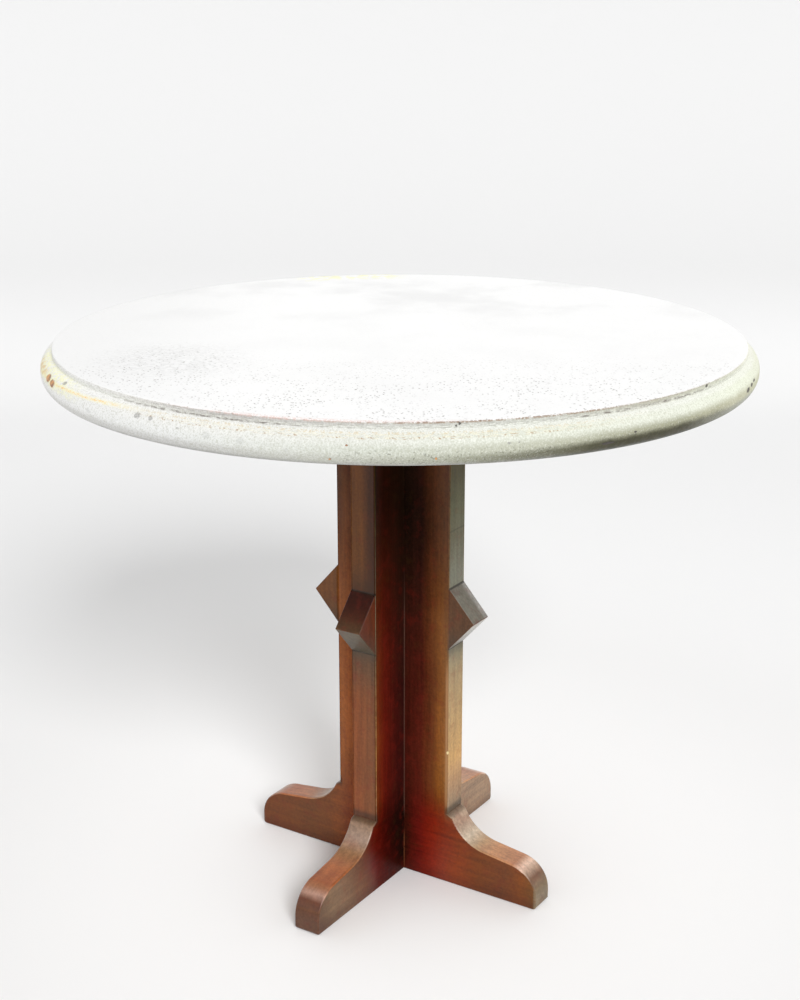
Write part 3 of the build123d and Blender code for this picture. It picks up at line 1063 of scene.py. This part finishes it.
# ---- bare pine and steel
def bare_pine():
    """Unfinished cleats: ring figure along the grain, dust in the pores."""
    s = Shader("bare_pine")
    along = s.vector("MULTIPLY", s.position, (0.06, 1, 1))
    rings = s.noise(120, along, detail=4, distortion=0.8)
    dust = s.noise(40, detail=4)
    colour = s.mix(s.step(rings, 0.35, 0.68), (0.58, 0.41, 0.24), (0.38, 0.23, 0.11))
    colour = s.mix(s.step(dust, 0.45, 0.8), colour, (0.35, 0.3, 0.24))
    s.bumps((rings, 0.0004, 0.4), (dust, 0.0005, 0.15))
    return s.finish(colour, 0.72, specular=0.3)


def screw_steel():
    """Tarnished steel, duller where it is brown."""
    s = Shader("screw_steel")
    tarnish = s.noise(420, detail=4)
    colour = s.mix(s.step(tarnish, 0.4, 0.7), (0.62, 0.6, 0.55), (0.35, 0.3, 0.22))
    s.bumps((tarnish, 0.0002, 0.3))
    return s.finish(colour, s.step(tarnish, 0.3, 0.7, to=(0.3, 0.52)), metallic=1.0)


def dress(names, material):
    """Gives CAD nodes their material."""
    for name in names:
        nodes[name].data.materials.clear()
        nodes[name].data.materials.append(material)


dress(UPRIGHTS + DIAMONDS, StainedWood("stained_wood_upright", "z").build())
dress(["foot_beam_left_right"], StainedWood("stained_wood_foot_x", "x").build())
dress(["foot_beam_front_back"], StainedWood("stained_wood_foot_y", "y").build())
dress(CLEATS, bare_pine())
dress(SCREWS, screw_steel())


# ---- painted top, board by board
TURNS = 1080
DECK_RINGS = (0.0, 0.06, 0.12, 0.18, 0.23, 0.265, 0.285)
UNDERSIDE_RINGS = (0.27, 0.2, 0.12, 0.06, 0.0)
DEEPEST_DIP = 0.00025


def arc(centre, radius, start, end, steps):
    """Points of an arc in the top's section, angles in degrees."""
    angles = [math.radians(start + (end - start) * i / steps) for i in range(steps + 1)]
    return [(centre[0] + radius * math.cos(t), centre[1] + radius * math.sin(t)) for t in angles]


def top_section():
    """Half section of the top, from the middle of the deck round the nose to the underside."""
    nose_x = TOP_RADIUS - BULLNOSE
    quirk_angle = math.degrees(math.asin((STEP_Z - CREST_Z - QUIRK_ROUND) / BULLNOSE))
    points = [(r, TABLE_HEIGHT) for r in DECK_RINGS]
    points += arc((DECK_RADIUS - DECK_ROUND, TABLE_HEIGHT - DECK_ROUND), DECK_ROUND, 90, 0, 6)
    points += arc((DECK_RADIUS + QUIRK_ROUND, STEP_Z + QUIRK_ROUND * 0.6), QUIRK_ROUND, 180, 250, 4)
    points += arc((nose_x, CREST_Z), BULLNOSE, quirk_angle, 0, 22)
    points += arc((nose_x, UNDERSIDE + BULLNOSE), BULLNOSE, 0, -90, 24)
    points += [(r, UNDERSIDE) for r in UNDERSIDE_RINGS]
    return points


def rim_point(radius, height, turn):
    """A point of the top. Outside the deck, hand rubbing has taken a hair off it here and there."""
    place = Vector((radius * math.cos(turn), radius * math.sin(turn), height))
    if radius > DECK_RADIUS - 0.002:
        dip = 0.5 + 0.5 * noise.noise(place * 45) + 0.25 * noise.noise(place * 160)
        place.xy *= 1 - DEEPEST_DIP * max(0.0, dip) / radius
    return place


def turned_top():
    """The whole top as one closed mesh."""
    mesh = bmesh.new()
    rows = []
    for radius, height in top_section():
        if radius == 0.0:
            rows.append([mesh.verts.new((0, 0, height))] * TURNS)
        else:
            turns = [2 * math.pi * i / TURNS for i in range(TURNS)]
            rows.append([mesh.verts.new(rim_point(radius, height, turn)) for turn in turns])
    for upper, lower in zip(rows, rows[1:]):
        for i in range(TURNS):
            j = (i + 1) % TURNS
            corners = dict.fromkeys([upper[i], lower[i], lower[j], upper[j]])
            mesh.faces.new(list(corners)).smooth = True
    return mesh


def cut_board(whole, low, high):
    """The part of the top between two glue joints, closed where it is cut."""
    board = whole.copy()
    for place, facing in ((low, -1), (high, 1)):
        if abs(place) < TOP_RADIUS - 0.001:
            parts = board.verts[:] + board.edges[:] + board.faces[:]
            cut = bmesh.ops.bisect_plane(
                board, geom=parts, plane_co=(place, 0, 0), plane_no=(facing, 0, 0), clear_outer=True
            )
            rim = [part for part in cut["geom_cut"] if isinstance(part, bmesh.types.BMEdge)]
            bmesh.ops.edgeloop_fill(board, edges=rim)
    bmesh.ops.recalc_face_normals(board, faces=board.faces)
    return board


def put(name, data):
    """A new object in the scene."""
    made = bpy.data.objects.new(name, data)
    scene.collection.objects.link(made)
    return made


def painted_boards():
    paint = WhitePaint("white_paint").build()
    whole = turned_top()
    for number, name in enumerate(BOARDS, start=1):
        low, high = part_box(name)
        board = cut_board(whole, low.x, high.x)
        data = bpy.data.meshes.new(f"painted_board_{number}")
        board.to_mesh(data)
        board.free()
        data.materials.append(paint)
        data.set_sharp_from_angle(angle=math.radians(50))
        piece = put(f"painted_board_{number}", data)
        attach(piece, "root")
        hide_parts(name)
    whole.free()


painted_boards()


# ---- camera
CAMERA_PITCH = math.radians(17.57)
CAMERA_DISTANCE = 1.4305
CAMERA_HEIGHT = 0.811
CAMERA_LENS = 60.84


def add_camera():
    """The photo's viewpoint, from the front right and a little above the top."""
    camera = put("camera", bpy.data.cameras.new("camera"))
    camera.location = FORWARD * CAMERA_DISTANCE + Vector((0, 0, CAMERA_HEIGHT))
    camera.rotation_euler = (math.pi / 2 - CAMERA_PITCH, 0, CAMERA_AZIMUTH)
    camera.data.lens = CAMERA_LENS
    camera.data.sensor_width = 36
    camera.data.clip_end = 50
    scene.camera = camera


# ---- floor and light
FLOOR_DEPTH = (-6, 1.6)
BEND = 1.2
BEND_STEPS = 24
WALL_TOP = 3.2
SHEET_HALF_WIDTH = 5
BELOW_FEET = 0.0002


def pale_floor():
    """Pale cloth with a painted pool of light, lightest and a little cool under the table against its
    shadow, greyer far out, painted shade to the left, and greyer up the wall.
    """
    s = Shader("pale_floor")
    radius = s.from_axis()
    # painted light: a pool of light under and round the table, cancelling its shadow and warm bounce
    tone = s.mix(s.step(radius, 0.15, 0.6), (0.98, 0.99, 1.0), (0.85, 0.85, 0.85))
    tone = s.mix(s.step(radius, 0.55, 1.6), tone, (0.79, 0.79, 0.79))
    # painted shade to the left of the table
    tone = s.mix(s.step(s.x, -0.1, -0.9), tone, (0.77, 0.77, 0.77))
    tone = s.mix(s.step(s.z, 0.0, 0.2), tone, (0.655, 0.655, 0.655))
    return s.finish(tone, 0.9, specular=0.2)


def backdrop():
    """A pale floor that sweeps up behind the table into a wall."""
    front, back = FLOOR_DEPTH
    outline = [(front, 0.0), (back, 0.0)]
    for i in range(1, BEND_STEPS + 1):
        turn = math.pi / 2 * i / BEND_STEPS
        outline.append((back + BEND * math.sin(turn), BEND * (1 - math.cos(turn))))
    outline.append((back + BEND, WALL_TOP))
    mesh = bmesh.new()
    rows = [
        [mesh.verts.new((side * SHEET_HALF_WIDTH, depth, height - BELOW_FEET)) for side in (-1, 1)]
        for depth, height in outline
    ]
    for near, far in zip(rows, rows[1:]):
        mesh.faces.new((near[0], near[1], far[1], far[0])).smooth = True
    data = bpy.data.meshes.new("backdrop")
    mesh.to_mesh(data)
    mesh.free()
    data.materials.append(pale_floor())
    sheet = put("backdrop", data)
    sheet.rotation_euler = (0, 0, CAMERA_AZIMUTH)


def sun(name, azimuth, elevation, strength, softness):
    """A far soft lamp. Azimuth 0 is the front and 90 the right."""
    data = bpy.data.lights.new(name, "SUN")
    data.energy = strength
    data.angle = math.radians(softness)
    lamp = put(name, data)
    a, e = math.radians(azimuth), math.radians(elevation)
    toward = Vector((math.sin(a) * math.cos(e), -math.cos(a) * math.cos(e), math.sin(e)))
    lamp.rotation_mode = "QUATERNION"
    lamp.rotation_quaternion = toward.to_track_quat("Z", "Y")


def white_surround(strength):
    """Even white light from all round, shown without a film look."""
    world = bpy.data.worlds.new("studio")
    world.use_nodes = True
    background = world.node_tree.nodes["Background"]
    background.inputs["Color"].default_value = (1, 1, 1, 1)
    background.inputs["Strength"].default_value = strength
    scene.world = world
    scene.view_settings.view_transform = "Standard"
    scene.view_settings.look = "None"


add_camera()
backdrop()
sun("key", azimuth=50, elevation=32, strength=2.0, softness=19)
white_surround(strength=0.75)
